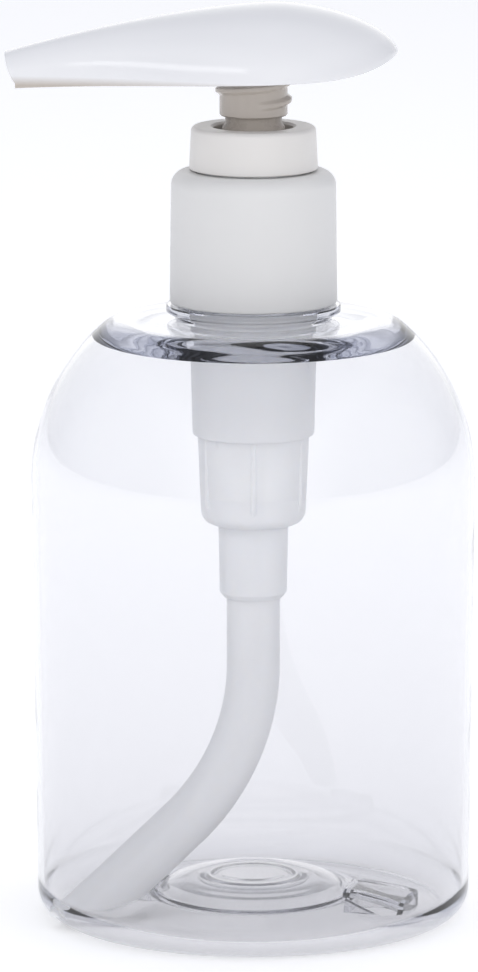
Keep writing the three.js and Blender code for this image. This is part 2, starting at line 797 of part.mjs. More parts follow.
function makeHead() {
  const wall = 1.5;
  const outer = solid(headForm(TIP_X, HEEL_X - 0.05, 0, 0));
  const hollow = solid(headForm(TIP_X + 8, HEEL_X - wall, wall, 3));
  const outlet = new THREE.Vector3(TIP_X - 1, 0, CHANNEL_OUT_Z);
  const inlet = new THREE.Vector3(0, 0, CHANNEL_IN_Z);
  const channelWall = solid(strut(outlet, inlet, 2.5));
  const channel = solid(strut(outlet, inlet, 1.7));
  const boss = solid(rod(BOSS_R, BOSS_Z, BOSS_TOP, SMALL_ROUND));
  const socket = solid(rod(STEM_R + 0.1, BOSS_Z - 1, STEM_TOP + GAP, SMALL_ROUND));
  const chamber = solid(rod(STEM_BORE, STEM_TOP, CHAMBER_TOP, SMALL_ROUND));
  const thread = threadRib({
    rootR: BOSS_R - 0.2,
    crestR: BOSS_CREST,
    pitch: LOCK_PITCH,
    turns: 1.5,
    startZ: BOSS_Z + 1.9,
    startAngle: -Math.PI / 2,
    rootWidth: 1.6,
    crestWidth: 0.6,
  });
  const spine = solid(new THREE.BoxGeometry(17, 1.4, 12).translate(12.5, 0, 149));
  const crossRib = solid(new THREE.BoxGeometry(1.4, 24, 12).translate(0, 0, 149.5));
  const inside = outer.subtract(hollow);
  const ribs = spine.add(crossRib).add(channelWall).intersect(outer);
  const body = inside.add(ribs).add(boss).add(solid(thread));
  const bored = body.subtract(socket).subtract(chamber).subtract(channel);
  return geometryOf(bored.subtract(solid(nozzleCut())));
}

// ---- Assembly ----

const parts = [
  ["bottle", makeBottle(), clearPet],
  ["neck_gasket", makeNeckGasket(), foam],
  ["closure", makeClosure(), satinWhite],
  ["lock_ring", makeLockRing(), satinWhite],
  ["stem_seal", makeStemSeal(), rubber],
  ["pump_housing", makeHousing(), milky],
  ["ball_retainer", makeBallRetainer(), milky],
  ["inlet_ball", makeInletBall(), glass],
  ["dip_tube", makeDipTube(), milky],
  ["return_spring", makeSpring(), steel],
  ["stem", makeStem(), glossWhite],
  ["stem_plug", makeStemPlug(), satinWhite],
  ["piston", makePiston(), milky],
  ["pump_head", makeHead(), glossWhite],
];

const dispenser = new THREE.Group();
for (const [name, geometry, material] of parts) {
  const mesh = new THREE.Mesh(geometry, material);
  mesh.name = name;
  dispenser.add(mesh);
}

export default dispenser;
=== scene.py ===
"""Soap pump dispenser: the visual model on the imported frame.

Sizes are in millimetres in the same frame as the CAD, and become metres where a mesh is made.
The bottle stands on z = 0, its axis is Z, and the nozzle points along -X.
"""

import math

import bmesh
import bpy
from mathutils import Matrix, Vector

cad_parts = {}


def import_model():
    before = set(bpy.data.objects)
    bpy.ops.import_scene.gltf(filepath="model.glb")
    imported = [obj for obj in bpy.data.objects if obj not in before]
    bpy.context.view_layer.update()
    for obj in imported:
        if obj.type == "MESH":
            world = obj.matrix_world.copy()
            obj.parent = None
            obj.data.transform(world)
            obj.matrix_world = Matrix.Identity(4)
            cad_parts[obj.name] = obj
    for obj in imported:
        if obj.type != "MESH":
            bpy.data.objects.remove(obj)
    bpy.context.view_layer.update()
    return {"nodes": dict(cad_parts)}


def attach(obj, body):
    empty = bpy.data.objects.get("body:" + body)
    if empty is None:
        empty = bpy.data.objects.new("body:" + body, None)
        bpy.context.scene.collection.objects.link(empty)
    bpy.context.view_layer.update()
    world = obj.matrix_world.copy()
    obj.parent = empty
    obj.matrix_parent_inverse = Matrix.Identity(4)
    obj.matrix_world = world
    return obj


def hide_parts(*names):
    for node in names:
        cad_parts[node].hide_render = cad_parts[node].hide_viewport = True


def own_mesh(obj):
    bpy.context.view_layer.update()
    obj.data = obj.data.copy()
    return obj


MM = 0.001
TAU = 2 * math.pi
SIDES = 192  # round the large turned parts
SMALL_SIDES = 96  # round the parts inside the pump
SHARP = 32  # degrees: edges that turn more than this are shaded sharp
GAP = 0.3  # clearance between parts that rest on or pass each other

# Bottle
BODY_R = 37.0
HEEL_BODY_R = 36.25
WALL = 0.9
HEEL_R = 4.5
STAND_IN_R = 27.5
PUSH_UP = 5.4
PUSH_UP_R = 8.0
BASE_WALL = 1.3
DOME_Z = 74.0
DOME_R = 34.0
DOME_END = math.radians(48.8)
SHOULDER_R = 5.9
THICK_Z = 97.6  # the wall thickens from here to the neck
THICK_IN_R = 26.4  # the thick wall's inner face ends here
FLARE_R = 1.6  # rounding where the neck's bore opens into the bottle
RING_HEIGHT = 0.45  # of the two rings moulded in the base
INNER_RING_HEIGHT = 0.15  # the same rings on the base's inner face
WAVE_HEIGHT = 0.06

# Two locating pockets in the base, opposite each other
LUG_AZIMUTH = math.radians(-15)
LUG_IN = 16.5
LUG_OUT = 27.2
LUG_WIDTH = 11.0
LUG_TOP = 5.6
LUG_WALL = 1.1

# Neck and closure
NECK_R = 11.8
NECK_BORE = 10.8
NECK_TOP = 121.4
NECK_CREST = 12.6
SUPPORT_R = 14.5
SUPPORT_Z = 102.2
SUPPORT_TOP = 103.5
PITCH = 3.175
THREAD_TURNS = 1.5
THREAD_Z = 111.0
FLANGE_R = 12.3
FLANGE_Z = 122.6
FLANGE_TOP = 123.8
CAP_R = 13.9
CAP_TOP_R = 13.65
CAP_BORE = 12.8
CAP_Z = 103.8
CAP_TOP = 125.8
CAP_ROUND = 2.4
CAP_HOLE = 9.75
CAP_CREST = 12.05

# Lock ring
RING_R = 10.65
RING_TOP_R = 10.35
RING_Z = 126.1
RING_TOP = 133.2
RING_BORE = 6.7
SKIRT_Z = 121.3
SKIRT_R = 8.1
LOCK_Z = 124.6  # lower end of the bore that takes the head's boss
SEAL_SHELF_Z = 124.3  # the stem seal is held under this shelf
SEAL_BORE = 6.6
LOCK_PITCH = 3.0
LOCK_CREST = 5.95

# Pump housing, stem, piston and tube
RIM_R = 9.3
RIM_TOP = 129.6
BARREL_R = 10.5
BARREL_BORE = 9.3
BARREL_Z = 81.9
BARREL_TAPER_Z = 97.0  # the barrel is slightly conical up to here
LEDGE_Z = 83.2
CYLINDER_BORE = 7.7
CYLINDER_TOP_R = 9.3
CYLINDER_BASE_R = 8.75
FLOOR_Z = 68.0
SOCKET_R = 5.85
SOCKET_BASE_R = 5.6
SOCKET_BORE = 4.55
SOCKET_Z = 54.0
SOCKET_TOP = 61.4
SEAT_Z = 62.2
BALL_R = 2.5
BALL_Z = 64.29
VALVE_R = 3.4  # the chamber that the ball lifts in
INLET_R = 1.6  # the hole under the ball
STEM_R = 4.7
STEM_BORE = 2.6
STEM_TOP = 146.0
STEM_STEP_Z = 83.0
STEM_TIP_R = 3.5
STEM_Z = 77.4
COLLAR_R = 8.9
COLLAR_Z = 119.4
BEAD_Z = 132.6  # middle of the bead round the stem, under the boss
BEAD_R = 5.2
PORT_R = 0.8  # side ports in the stem
PORT_Z = 79.0
PLUG_TOP = 77.2
TUBE_R = 4.45
TUBE_BORE = 3.65
TUBE_BEND_R = 33.6
TUBE_BEND_Z = 42.4
TUBE_TURN = math.radians(51)
TUBE_AZIMUTH = math.radians(22.5)
TUBE_CUT_OUT = 28.4
TUBE_CUT_UP = 3.75
TUBE_CUT_SLOPE = 0.162

# Head
TIP_X = -41.29  # this and the crown are 0.01 mm short of the CAD's, whose facets cut its ends off
TIP_LOW_X = -39.2
HEEL_X = 23.7
CROWN_X = 3.5
CROWN_Z = 153.59
WIDE_X = 3.0
WIDE_R = 15.5
TIP_W = 4.4
HEAD_WALL = 1.5
TIP_DROP = 8.2  # how far the ridge falls from the crown to the nozzle, and to the back end
HEEL_DROP = 8.0
RIM_Z = 141.7  # the lower rim's height on the bottle's axis
BOSS_R = 5.65
BOSS_Z = 135.0
BOSS_TOP = 152.2  # hidden in the head's crown
BOSS_CREST = 6.35
CHAMBER_TOP = 149.6  # top of the space above the stem
CHANNEL_IN_Z = 147.7  # height of the nozzle's channel on the axis
CHANNEL_OUT_Z = 142.7  # and at the nozzle's mouth


# ---- Mesh helpers ----


def make_object(name, verts, faces, sharp=SHARP):
    """A smooth-shaded closed object from millimetre points."""
    mesh = bpy.data.meshes.new(name)
    mesh.from_pydata([[c * MM for c in v] for v in verts], [], faces)
    bm = bmesh.new()
    bm.from_mesh(mesh)
    bmesh.ops.recalc_face_normals(bm, faces=bm.faces)
    bm.to_mesh(mesh)
    bm.free()
    obj = bpy.data.objects.new(name, mesh)
    bpy.context.scene.collection.objects.link(obj)
    shade(obj, sharp)
    return obj


def shade(obj, sharp=SHARP):
    """Smooth shading, with the edges that turn sharply kept crisp."""
    obj.data.shade_smooth()
    obj.data.set_sharp_from_angle(angle=math.radians(sharp))


def combine(target, tool, operation):
    """Applies a boolean of one closed object on another and removes the tool."""
    modifier = target.modifiers.new("combine", "BOOLEAN")
    modifier.operation = operation
    modifier.solver = "EXACT"
    modifier.object = tool
    depsgraph = bpy.context.evaluated_depsgraph_get()
    mesh = bpy.data.meshes.new_from_object(target.evaluated_get(depsgraph))
    target.modifiers.clear()
    target.data = mesh
    bpy.data.objects.remove(tool)
    if not is_closed(mesh):
        raise RuntimeError(f"a boolean left {target.name} open")
    return target


def is_closed(mesh):
    """True if every edge joins exactly two faces."""
    bm = bmesh.new()
    bm.from_mesh(mesh)
    closed = len(bm.faces) > 0 and all(len(edge.link_faces) == 2 for edge in bm.edges)
    bm.free()
    return closed


def arc(centre_r, centre_z, radius, start, end, steps):
    """Points on an arc in the (radius, height) plane. The angles are in radians."""
    points = []
    for i in range(steps + 1):
        angle = start + (end - start) * i / steps
        points.append((centre_r + radius * math.cos(angle), centre_z + radius * math.sin(angle)))
    return points


def wall(radius, start_z, end_z, spacing=0.16):
    """Closely spaced points along an upright wall, so that a thread can be raised on it."""
    steps = max(1, round(abs(end_z - start_z) / spacing))
    return [(radius, start_z + (end_z - start_z) * i / steps) for i in range(steps + 1)]


def thread(wall_r, crest_r, pitch, turns, start_z, start_angle, root_width, crest_width):
    """A right-handed helical rib, as a function that gives a wall point's new radius."""
    fade = 0.2  # of a turn

    def raised(radius, z, angle):
        if abs(radius - wall_r) > 1e-6:
            return radius
        height = 0.0
        turn = ((angle - start_angle) / TAU) % 1.0
        while turn <= turns:
            off = abs(z - start_z - pitch * turn)
            flank = (root_width / 2 - off) / ((root_width - crest_width) / 2)
            ends = min(1.0, turn / fade, (turns - turn) / fade)
            height = max(height, ends * min(1.0, max(0.0, flank)))
            turn += 1.0
        return wall_r + (crest_r - wall_r) * height

    return raised


def turned(name, profile, sides=SIDES, raised=None, uneven=None):
    """A closed body turned about Z from (radius, height) pairs listed in order round its section.
    `raised` gives a wall point's radius and `uneven` its height, both by where it is round Z."""
    verts = []
    rings = []
    for radius, z in profile:
        start = len(verts)
        count = 1 if radius < 1e-6 else sides
        for k in range(count):
            angle = TAU * k / sides
            r = raised(radius, z, angle) if raised else radius
            h = uneven(radius, z, angle) if uneven else z
            verts.append((r * math.cos(angle), r * math.sin(angle), h))
        rings.append(range(start, start + count))
    if profile[0][0] > 1e-6:
        rings.append(rings[0])
    faces = []
    for low, high in zip(rings, rings[1:]):
        for k in range(sides):
            corners = [low[k % len(low)], low[(k + 1) % len(low)]]
            corners += [high[(k + 1) % len(high)], high[k % len(high)]]
            corners = list(dict.fromkeys(corners))
            if len(corners) > 2:
                faces.append(corners)
    return make_object(name, verts, faces)


def lofted(name, stations, closed=False):
    """Joins rings of points into a skin. It has flat ends unless it closes on itself."""
    count = len(stations[0])
    verts = [point for station in stations for point in station]
    faces = []
    spans = len(stations) if closed else len(stations) - 1
    for s in range(spans):
        near = s * count
        far = ((s + 1) % len(stations)) * count
        for k in range(count):
            n = (k + 1) % count
            faces.append((near + k, near + n, far + n, far + k))
    if not closed:
        faces.append(tuple(range(count)))
        faces.append(tuple(range(len(verts) - count, len(verts))))
    return make_object(name, verts, faces)


def block(low, high):
    """A plain box between two corners, used only as a cutting or joining tool."""
    verts = [(x, y, z) for x in (low[0], high[0]) for y in (low[1], high[1]) for z in (low[2], high[2])]
    faces = [(0, 1, 3, 2), (4, 6, 7, 5), (0, 4, 5, 1), (2, 3, 7, 6), (0, 2, 6, 4), (1, 5, 7, 3)]
    return make_object("tool", verts, faces)


def ramp(start, end, steps):
    """Points on a straight line in the (radius, height) plane, without its start."""
    shares = [i / steps for i in range(1, steps + 1)]
    return [(start[0] + (end[0] - start[0]) * t, start[1] + (end[1] - start[1]) * t) for t in shares]


def smooth_step(t):
    t = min(1.0, max(0.0, t))
    return t * t * (3 - 2 * t)


# ---- Bottle ----


def push_up(base, ring_height):
    """The pushed-up base from its middle to the standing ring, with two moulded rings in it."""
    steps = 64
    points = []
    for i in range(steps + 1):
        r = STAND_IN_R * i / steps
        t = max(0.0, (r - PUSH_UP_R) / (STAND_IN_R - PUSH_UP_R))
        z = base + PUSH_UP / 2 * (1 + math.cos(math.pi * t))
        for ring_r, width in ((7.3, 0.9), (15.6, 1.1)):
            z -= ring_height * math.exp(-(((r - ring_r) / width) ** 2))
        points.append((r, z))
    return points


def bottle_profile():
    dome_r = BODY_R - DOME_R
    heel = arc(HEEL_BODY_R - HEEL_R, HEEL_R, HEEL_R, -math.pi / 2, 0, 12)
    dome = arc(dome_r, DOME_Z, DOME_R, 0, DOME_END, 40)
    inward = DOME_R - SHOULDER_R
    shoulder_r = dome_r + inward * math.cos(DOME_END)
    shoulder_z = DOME_Z + inward * math.sin(DOME_END)
    shoulder = arc(shoulder_r, shoulder_z, SHOULDER_R, DOME_END, math.pi / 2, 14)[1:]
    top = shoulder[-1][1]
    neck = [(NECK_CREST + 0.5, top)]
    neck += arc(NECK_CREST + 0.5, top + 0.5, 0.5, 1.5 * math.pi, math.pi, 4)[1:]
    neck += [(NECK_CREST, SUPPORT_Z), (SUPPORT_R - 0.2, SUPPORT_Z)]
    neck += [(SUPPORT_R, SUPPORT_Z + 0.2), (SUPPORT_R, SUPPORT_TOP - 0.2)]
    neck += [(SUPPORT_R - 0.2, SUPPORT_TOP)]
    neck += wall(NECK_R, SUPPORT_TOP, NECK_TOP - 0.3)
    neck += [(NECK_R - 0.3, NECK_TOP)]
    inner_dome = DOME_R - WALL
    thick_edge = math.asin((THICK_Z - DOME_Z) / inner_dome)
    inner_heel_r = 5.0
    inside = [(NECK_BORE + 0.1, NECK_TOP), (NECK_BORE, NECK_TOP - 0.2)]
    inside += arc(NECK_BORE + FLARE_R, THICK_Z + 3.0, FLARE_R, math.pi, 1.5 * math.pi, 8)
    inside_dome = arc(dome_r, DOME_Z, inner_dome, thick_edge, 0, 36)
    inside += ramp(inside[-1], inside_dome[0], 18) + inside_dome[1:]
    inner_heel_centre = (HEEL_BODY_R - WALL - inner_heel_r, BASE_WALL + inner_heel_r)
    inside += arc(*inner_heel_centre, inner_heel_r, 0, -math.pi / 2, 12)
    inside += push_up(BASE_WALL, INNER_RING_HEIGHT)[::-1]
    return push_up(0, RING_HEIGHT) + heel + dome + shoulder + neck + inside


def lug_form(azimuth, inset):
    """The form of a locating pocket, `inset` all round: wider and lower towards the heel."""
    stations = []
    reach = LUG_OUT - LUG_IN
    low = -2.0 if inset else 0.9  # the hollow opens downwards; the form ends inside the base's wall
    bevel = 0.5
    c, s = math.cos(azimuth), math.sin(azimuth)
    for t in (0.0, 0.25, 0.75, 1.0):
        x = LUG_IN + inset + (reach - 2 * inset) * t
        half = LUG_WIDTH / 2 * (0.72 + 0.28 * t) - inset
        top = LUG_TOP - 1.6 * t * t - inset
        station = [(x, -half, low), (x, half, low), (x, half, top - bevel), (x, half - bevel, top)]
        station += [(x, bevel - half, top), (x, -half, top - bevel)]
        stations.append([(a * c - b * s, a * s + b * c, z) for a, b, z in station])
    return lofted("tool", stations)


def blown_unevenness(radius, z, angle):
    """Shallow waves in the inner face under the shoulder, where the blown wall is thick."""
    inner_edge = NECK_BORE + FLARE_R
    if not (THICK_Z - 0.05 < z < THICK_Z + 1.45 and inner_edge < radius < THICK_IN_R):
        return z
    share = math.sin(math.pi * (radius - inner_edge) / (THICK_IN_R - inner_edge))
    waves = math.sin(0.9 * radius + 1.4 * math.sin(3 * angle + 0.4))
    waves += 0.6 * math.sin(7 * angle + 0.7)
    return z + WAVE_HEIGHT * share * waves


def make_bottle():
    neck_thread = thread(NECK_R, NECK_CREST, PITCH, THREAD_TURNS, THREAD_Z, 0, 1.8, 0.7)
    bottle = turned("clear_bottle", bottle_profile(), raised=neck_thread, uneven=blown_unevenness)
    for azimuth in (LUG_AZIMUTH, LUG_AZIMUTH + math.pi):
        combine(bottle, lug_form(azimuth, 0), "UNION")
        combine(bottle, lug_form(azimuth, LUG_WALL), "DIFFERENCE")
    shade(bottle)
    return bottle


# ---- Closure, lock ring and seals ----


def make_closure():
    panel = FLANGE_TOP + GAP
    round_z = CAP_TOP - CAP_ROUND
    profile = [(CAP_BORE, CAP_Z), (CAP_R - 0.35, CAP_Z)]
    profile += arc(CAP_R - 0.35, CAP_Z + 0.35, 0.35, -math.pi / 2, 0, 5)[1:]
    profile += arc(CAP_TOP_R - CAP_ROUND, round_z, CAP_ROUND, 0, math.pi / 2, 20)
    profile += [(CAP_HOLE + 0.2, CAP_TOP), (CAP_HOLE, CAP_TOP - 0.2), (CAP_HOLE, panel)]
    profile += wall(CAP_BORE, panel, CAP_Z)[:-1]
    inner_thread = thread(CAP_BORE, CAP_CREST, PITCH, THREAD_TURNS, THREAD_Z - PITCH / 2, 0, 1.6, 0.7)
    return turned("screw_closure", profile, raised=inner_thread)


def make_lock_ring():
    """The ring that snaps over the housing's rim, guides the stem and holds the locked head."""
    edge = 0.8
    groove_top = RIM_TOP + GAP
    profile = [(RIM_R + GAP, RING_Z), (RING_R - 0.15, RING_Z), (RING_R, RING_Z + 0.15)]
    profile += arc(RING_TOP_R - edge, RING_TOP - edge, edge, 0, math.pi / 2, 12)
    profile += [(RING_BORE + 0.4, RING_TOP)]
    profile += wall(RING_BORE, RING_TOP - 0.4, LOCK_Z)
    profile += [(STEM_R + 0.5, LOCK_Z), (STEM_R + 0.5, SEAL_SHELF_Z), (SEAL_BORE, SEAL_SHELF_Z)]
    profile += [(SEAL_BORE, SKIRT_Z), (SKIRT_R, SKIRT_Z)]
    profile += [(SKIRT_R, groove_top), (RIM_R + GAP, groove_top)]
    lock_thread = thread(RING_BORE, LOCK_CREST, LOCK_PITCH, 1.0, LOCK_Z + 1.0, 0, 1.5, 0.6)
    return turned("stem_lock_ring", profile, raised=lock_thread)


def make_gasket():
    low = NECK_TOP + 0.1
    high = FLANGE_Z - 0.1
    inner = NECK_BORE + 0.05
    bulge = 0.15  # the foam's edges are pinched and its middle bulges
    middle = (low + high) / 2
    profile = [(inner + bulge, low), (FLANGE_R - bulge, low), (FLANGE_R, middle)]
    profile += [(FLANGE_R - bulge, high), (inner + bulge, high), (inner, middle)]
    return turned("foam_gasket", profile)


def make_stem_seal():
    """Soft wiper that seals the stem inside the lock ring's skirt."""
    wiper_r = STEM_R + 0.2
    outer_r = SEAL_BORE - 0.2
    low = SKIRT_Z + 0.3
    top = SEAL_SHELF_Z - 0.2
    profile = [(wiper_r, low + 0.1), (wiper_r + 0.15, low), (outer_r - 0.8, low + 0.8)]
    profile += [(outer_r - 0.8, low), (outer_r, low), (outer_r, top)]
    profile += [(outer_r - 1.1, top), (wiper_r, top - 1.5)]
    return turned("stem_wiper", profile, SMALL_SIDES)


# ---- Pump housing, valve and dip tube ----


def make_housing():
    corner_r = 2.2
    corner_z = FLOOR_Z + 0.7
    profile = [(SOCKET_BORE + 0.35, SOCKET_Z), (SOCKET_BASE_R, SOCKET_Z + 0.9)]
    profile += [(SOCKET_R, corner_z - corner_r - 0.1)]
    profile += arc(CYLINDER_BASE_R - corner_r, corner_z, corner_r, -math.pi / 2, 0, 12)
    profile += [(CYLINDER_TOP_R, BARREL_Z - 0.3), (BARREL_R - 0.5, BARREL_Z - 0.3)]
    profile += [(BARREL_R - 0.35, BARREL_Z), (BARREL_R, BARREL_TAPER_Z), (BARREL_R, FLANGE_Z)]
    profile += [(FLANGE_R, FLANGE_Z), (FLANGE_R, FLANGE_TOP), (RIM_R, FLANGE_TOP)]
    profile += arc(RIM_R - 0.3, RIM_TOP - 0.3, 0.3, 0, math.pi / 2, 4)
    profile += [(SKIRT_R + GAP, RIM_TOP), (SKIRT_R + GAP, FLANGE_Z), (BARREL_BORE, FLANGE_Z - 1.5)]
    profile += [(BARREL_BORE, LEDGE_Z), (CYLINDER_BORE, LEDGE_Z), (CYLINDER_BORE, FLOOR_Z)]
    profile += [(VALVE_R + 0.2, FLOOR_Z), (VALVE_R, FLOOR_Z - 0.3)]
    profile += [(VALVE_R, SEAT_Z + VALVE_R - INLET_R), (INLET_R, SEAT_Z)]
    profile += [(INLET_R, SOCKET_TOP), (SOCKET_BORE, SOCKET_TOP), (SOCKET_BORE, SOCKET_Z)]
    housing = turned("pump_cylinder", profile)
    for k in range(6):
        combine(housing, housing_rib(TAU * (k + 0.5) / 6), "UNION")
    shade(housing)
    return housing


def housing_rib(angle):
    """An upright rib with a rounded crest and a sloping lower end."""
    half = 0.5
    inner_r = CYLINDER_BASE_R - 0.65
    crest_r = CYLINDER_BASE_R + 0.65
    stations = []
    c, s = math.cos(angle), math.sin(angle)
    for z, share in ((FLOOR_Z + 1.0, 0.55), (FLOOR_Z + 2.4, 1.0), (BARREL_Z, 1.0)):
        tip = inner_r + (crest_r - inner_r) * share
        section = [(inner_r, -half), (tip - 0.3, -half), (tip, -0.2)]
        section += [(tip, 0.2), (tip - 0.3, half), (inner_r, half)]
        stations.append([(r * c - y * s, r * s + y * c, z) for r, y in section])
    return lofted("tool", stations)


def make_ball():
    profile = arc(0, BALL_Z, BALL_R, -math.pi / 2, math.pi / 2, 32)
    profile[0] = (0, BALL_Z - BALL_R)
    profile[-1] = (0, BALL_Z + BALL_R)
    return turned("valve_ball", profile, 64)


def tube_path():
    """The dip tube's centre line and direction, as (out, up, tilt) along its own upright plane."""
    points = [(0.0, SOCKET_TOP - GAP, 0.0), (0.0, 50.0, 0.0)]
    bend_steps = 48
    for i in range(bend_steps + 1):
        turn = TUBE_TURN * i / bend_steps
        out = TUBE_BEND_R * (1 - math.cos(turn))
        points.append((out, TUBE_BEND_Z - TUBE_BEND_R * math.sin(turn), turn))
    return points


def make_dip_tube():
    """The tube's outside and bore as one skin; its lower end is cut on a slant just above the base."""
    sides = 48
    sin_turn, cos_turn = math.sin(TUBE_TURN), math.cos(TUBE_TURN)

    def ring(radius, out, up, tilt, slanted):
        points = []
        for k in range(sides):
            angle = TAU * k / sides
            across = radius * math.cos(angle)
            rise = radius * math.sin(angle)
            o = out + rise * math.cos(tilt)
            z = up + rise * math.sin(tilt)
            if slanted:  # follow the tube's direction from here to the slanted plane
                gap = z - TUBE_CUT_UP + TUBE_CUT_SLOPE * (o - TUBE_CUT_OUT)
                run = gap / (cos_turn - TUBE_CUT_SLOPE * sin_turn)
                o += run * sin_turn
                z -= run * cos_turn
            ca, sa = math.cos(TUBE_AZIMUTH), math.sin(TUBE_AZIMUTH)
            points.append((-o * ca + across * sa, -o * sa - across * ca, z))
        return points

    path = tube_path()
    out, up, tilt = path[-1]
    edge = 0.12
    stations = [ring(TUBE_R, *p, False) for p in path] + [ring(TUBE_R, out, up, tilt, True)]
    stations += [ring(TUBE_BORE, out, up, tilt, True)] + [ring(TUBE_BORE, *p, False) for p in path[::-1]]
    stations += [ring(TUBE_BORE + edge, *path[0], False)]
    return lofted("bent_dip_tube", stations, closed=True)


# ---- Stem, piston and spring ----


def make_stem():
    tip_bore = 2.1
    profile = [(tip_bore, STEM_Z), (STEM_TIP_R, STEM_Z), (STEM_TIP_R, STEM_STEP_Z)]
    profile += [(STEM_R, STEM_STEP_Z + 1.2), (STEM_R, COLLAR_Z - 1.0), (STEM_R + 1.3, COLLAR_Z)]
    profile += [(COLLAR_R, COLLAR_Z), (COLLAR_R, COLLAR_Z + 1.6), (STEM_R, COLLAR_Z + 1.6)]
    profile += [(STEM_R, BEAD_Z - 1.2), (BEAD_R, BEAD_Z - 0.4), (BEAD_R + 0.05, BEAD_Z)]
    profile += [(BEAD_R, BEAD_Z + 0.4), (STEM_R, BEAD_Z + 1.2), (STEM_R, STEM_TOP)]
    profile += [(STEM_BORE, STEM_TOP), (STEM_BORE, STEM_STEP_Z + 1.5), (tip_bore, STEM_STEP_Z + 1.0)]
    stem = turned("pump_stem", profile, SMALL_SIDES)
    ports = turned("tool", [(0, -5), (PORT_R, -5), (PORT_R, 5), (0, 5)], 32)
    for vertex in ports.data.vertices:
        x, y, z = vertex.co
        vertex.co = (x, -z, y + PORT_Z * MM)
    combine(stem, ports, "DIFFERENCE")
    shade(stem)
    return stem


def make_plug():
    """Pressed into the stem's lower end; the piston closes on its cone."""
    rim_r = 5.8
    cone_top_r = 4.4
    pin_r = 1.9
    edge = 0.4
    profile = [(0, PLUG_TOP - 2.0), (rim_r - edge, PLUG_TOP - 2.0)]
    profile += arc(rim_r - edge, PLUG_TOP - 1.6, edge, -math.pi / 2, 0, 5)[1:]
    profile += [(rim_r, PLUG_TOP - 0.8), (cone_top_r, PLUG_TOP), (pin_r, PLUG_TOP)]
    profile += [(pin_r, PLUG_TOP + 1.0), (0, PLUG_TOP + 1.0)]
    return turned("seat_plug", profile, SMALL_SIDES)


def make_piston():
    """Slides on the stem's tip for a short way, which opens and closes the stem's ports."""
    hub = 5.3
    bore = STEM_TIP_R + 0.15
    lip = CYLINDER_BORE - 0.15
    low = PLUG_TOP + 0.2
    profile = [(bore, low + 0.1), (hub, low + 0.1), (hub, low + 1.6), (lip - 0.7, low + 1.2)]
    profile += [(lip - 0.5, low - 0.6), (lip, low - 0.6), (lip - 0.12, low + 0.7)]
    profile += [(lip - 0.25, low + 2.0), (lip - 0.12, low + 3.2), (lip, low + 4.4)]
    profile += [(lip - 0.5, low + 4.4), (lip - 0.8, low + 2.6)]
    profile += [(hub, low + 2.6), (hub, low + 3.6), (bore, low + 3.6)]
    return turned("sliding_piston", profile, SMALL_SIDES)


def make_spring():
    """Compression spring around the stem, with a closed turn at each end."""
    wire_r = 0.55
    coil_r = 8.4
    low_z = LEDGE_Z + 0.1 + wire_r
    high_z = COLLAR_Z - 0.1 - wire_r
    turns = 9
    steps_per_turn = 56
    wire_sides = 14
    closed_rise = 1.15 * wire_r * 2
    stations = []
    for i in range(turns * steps_per_turn + 1):
        turn = i / steps_per_turn
        share = min(1.0, max(0.0, (turn - 1) / (turns - 2)))
        ends = min(turn, 1.0) + max(0.0, turn - turns + 1)
        z = low_z + closed_rise * ends + (high_z - low_z - 2 * closed_rise) * share
        c, s = math.cos(TAU * turn), math.sin(TAU * turn)
        section = []
        for k in range(wire_sides):
            around = TAU * k / wire_sides
            r = coil_r + wire_r * math.cos(around)
            section.append((r * c, r * s, z + wire_r * math.sin(around)))
        stations.append(section)
    return lofted("steel_spring", stations)


# ---- Head ----


def crown_z(x):
    """Height of the head's ridge."""
    if x < CROWN_X:
        return CROWN_Z - TIP_DROP * ((CROWN_X - x) / (CROWN_X - TIP_X)) ** 1.55
    t = min(1.0, (x - CROWN_X) / (HEEL_X - CROWN_X))
    bulge = 1.7
    return CROWN_Z - HEEL_DROP * (1 - (1 - t**bulge) ** (1 / bulge))


def rim_z(x):
    """Height of the head's lower rim: nearly level, swept up at the back."""
    level = RIM_Z + 0.045 * x
    sweep = 8.0
    if x < sweep:
        return level
    return level + 2.6 * ((x - sweep) / (HEEL_X - sweep)) ** 3


def half_width(x):
    """Half the head's width: a round thumb pad that narrows to the nozzle."""
    if x > WIDE_X:
        return WIDE_R * math.sqrt(max(0.0, 1 - ((x - WIDE_X) / (HEEL_X - WIDE_X)) ** 2))
    t = min(1.0, (WIDE_X - x) / (WIDE_X - TIP_X))
    return TIP_W + (WIDE_R - TIP_W) * (0.5 + 0.5 * math.cos(math.pi * t**0.8))


def head_section(x, inset, drop):
    """One cross-section of the head, `inset` inside its surface and `drop` below its rim."""
    steps = 44
    power = 2 / 2.25
    width = max(0.1, half_width(x) - inset)
    low = rim_z(x) - drop
    spring = rim_z(x) + 0.4 + 1.8 * smooth_step((-8 - x) / 20)
    top = max(spring + 0.1, crown_z(x) - inset)
    lip = 0 if drop else min(0.3, width / 3)
    section = [(x, -width + lip, low), (x, -width + lip / 4, low + lip / 4), (x, -width, low + lip)]
    if drop:
        section = section[:1]
    for i in range(steps + 1):
        angle = math.pi * i / steps
        c = math.cos(angle)
        y = -width * math.copysign(abs(c) ** power, c)
        section.append((x, y, spring + (top - spring) * math.sin(angle) ** power))
    mirrored = [(x, width, low + lip), (x, width - lip / 4, low + lip / 4), (x, width - lip, low)]
    return section + (mirrored[-1:] if drop else mirrored)


def head_form(name, from_x, to_x, inset, drop):
    count = 110
    stations = []
    for i in range(count + 1):
        t = i / count
        eased = math.sin(math.pi / 2 * t)
        stations.append(head_section(from_x + (to_x - from_x) * (0.3 * t + 0.7 * eased), inset, drop))
    return lofted(name, stations)


